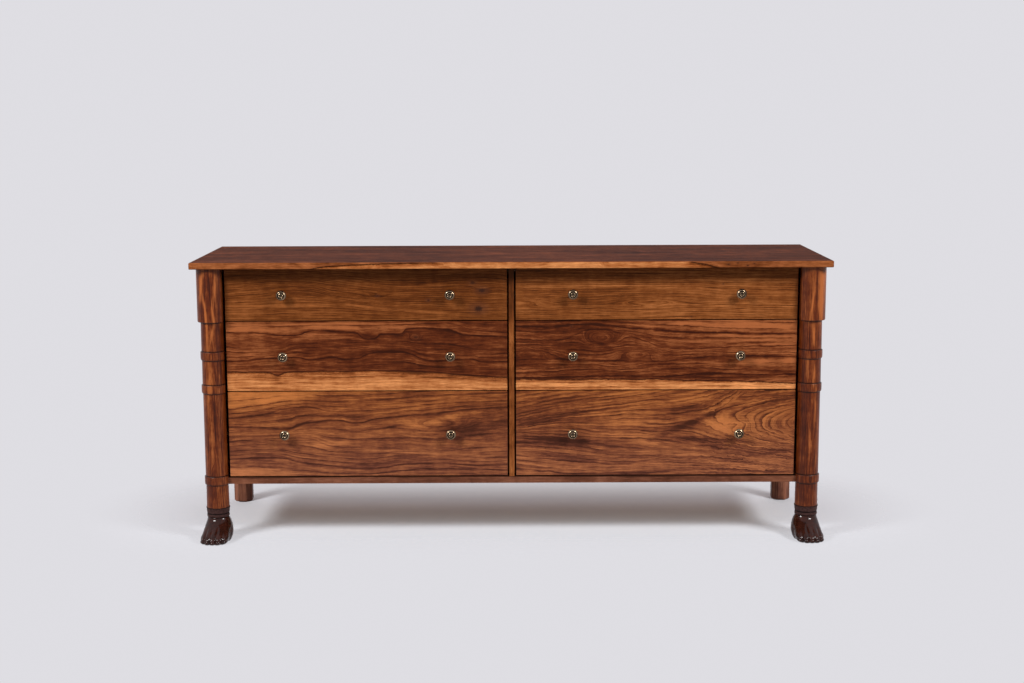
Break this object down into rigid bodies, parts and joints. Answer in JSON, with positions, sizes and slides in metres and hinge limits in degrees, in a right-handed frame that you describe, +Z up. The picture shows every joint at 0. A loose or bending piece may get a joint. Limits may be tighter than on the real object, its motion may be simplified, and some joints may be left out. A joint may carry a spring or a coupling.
{
  "type": "dresser",
  "caption": "Long low walnut dresser with side by side banks of drawers between turned ringed front columns on dark carved paw feet, octagonal rear legs, and small ringed brass knobs",
  "frame": {"origin": "on the floor, under the middle of the whole piece, paw toes included", "axes": "+X to the viewer's right along the front, +Y from the front to the back, +Z up; the drawers open towards -Y"},
  "size_m": [1.829, 0.548, 0.816],
  "materials": {
    "top_walnut": "oiled satin walnut, long grain left to right",
    "top_front_walnut": "oiled satin walnut, straight golden brown grain",
    "middle_front_walnut": "oiled satin walnut, reddish brown with pale sapwood along the lower edge",
    "bottom_front_walnut": "oiled satin walnut, broad cathedral and crotch figure",
    "column_walnut": "turned and oiled walnut, upright grain with lighter streaks",
    "leg_walnut": "planed and oiled walnut, upright grain",
    "side_walnut": "oiled satin walnut, upright grain",
    "rail_walnut": "oiled satin walnut, straight grain",
    "paw_wood": "carved hardwood, very dark brown gloss finish",
    "inner_wood": "planed pale hardwood, unfinished",
    "back_wood": "pale hardwood panel, thin clear coat",
    "runner_wood": "hard maple, waxed",
    "drawer_wood": "planed pale hardwood, clear sealed",
    "brass": "aged turned brass, bright on the rims",
    "steel": "zinc plated screws"
  },
  "bodies": {
    "case": {"top_board": "top_walnut", "bottom_rail": "rail_walnut", "bottom_board": "inner_wood", "back_panel": "back_wood", "top_front_rail": "inner_wood", "top_back_rail": "inner_wood", "centre_stile": "rail_walnut", "centre_divider": "inner_wood", "drawer_runners": "runner_wood", "top_screws": "steel", "left_column": "column_walnut", "left_paw_foot": "paw_wood", "left_rear_leg": "leg_walnut", "left_side_panel": "side_walnut", "right_column": "column_walnut", "right_paw_foot": "paw_wood", "right_rear_leg": "leg_walnut", "right_side_panel": "side_walnut"},
    "top_left_drawer": {"top_left_drawer_front": "top_front_walnut", "top_left_drawer_outer_side": "drawer_wood", "top_left_drawer_inner_side": "drawer_wood", "top_left_drawer_back": "drawer_wood", "top_left_drawer_bottom": "drawer_wood", "top_left_drawer_knobs": "brass", "top_left_drawer_knob_screws": "steel"},
    "top_right_drawer": {"top_right_drawer_front": "top_front_walnut", "top_right_drawer_outer_side": "drawer_wood", "top_right_drawer_inner_side": "drawer_wood", "top_right_drawer_back": "drawer_wood", "top_right_drawer_bottom": "drawer_wood", "top_right_drawer_knobs": "brass", "top_right_drawer_knob_screws": "steel"},
    "middle_left_drawer": {"middle_left_drawer_front": "middle_front_walnut", "middle_left_drawer_outer_side": "drawer_wood", "middle_left_drawer_inner_side": "drawer_wood", "middle_left_drawer_back": "drawer_wood", "middle_left_drawer_bottom": "drawer_wood", "middle_left_drawer_knobs": "brass", "middle_left_drawer_knob_screws": "steel"},
    "middle_right_drawer": {"middle_right_drawer_front": "middle_front_walnut", "middle_right_drawer_outer_side": "drawer_wood", "middle_right_drawer_inner_side": "drawer_wood", "middle_right_drawer_back": "drawer_wood", "middle_right_drawer_bottom": "drawer_wood", "middle_right_drawer_knobs": "brass", "middle_right_drawer_knob_screws": "steel"},
    "bottom_left_drawer": {"bottom_left_drawer_front": "bottom_front_walnut", "bottom_left_drawer_outer_side": "drawer_wood", "bottom_left_drawer_inner_side": "drawer_wood", "bottom_left_drawer_back": "drawer_wood", "bottom_left_drawer_bottom": "drawer_wood", "bottom_left_drawer_knobs": "brass", "bottom_left_drawer_knob_screws": "steel"},
    "bottom_right_drawer": {"bottom_right_drawer_front": "bottom_front_walnut", "bottom_right_drawer_outer_side": "drawer_wood", "bottom_right_drawer_inner_side": "drawer_wood", "bottom_right_drawer_back": "drawer_wood", "bottom_right_drawer_bottom": "drawer_wood", "bottom_right_drawer_knobs": "brass", "bottom_right_drawer_knob_screws": "steel"}
  },
  "joints": [
    {"name": "top_left_drawer_slide", "type": "slide", "parent": "case", "child": "top_left_drawer", "axis": [0, -1, 0], "range_m": [0, 0.33]},
    {"name": "top_right_drawer_slide", "type": "slide", "parent": "case", "child": "top_right_drawer", "axis": [0, -1, 0], "range_m": [0, 0.33]},
    {"name": "middle_left_drawer_slide", "type": "slide", "parent": "case", "child": "middle_left_drawer", "axis": [0, -1, 0], "range_m": [0, 0.33]},
    {"name": "middle_right_drawer_slide", "type": "slide", "parent": "case", "child": "middle_right_drawer", "axis": [0, -1, 0], "range_m": [0, 0.33]},
    {"name": "bottom_left_drawer_slide", "type": "slide", "parent": "case", "child": "bottom_left_drawer", "axis": [0, -1, 0], "range_m": [0, 0.33]},
    {"name": "bottom_right_drawer_slide", "type": "slide", "parent": "case", "child": "bottom_right_drawer", "axis": [0, -1, 0], "range_m": [0, 0.33]}
  ]
}
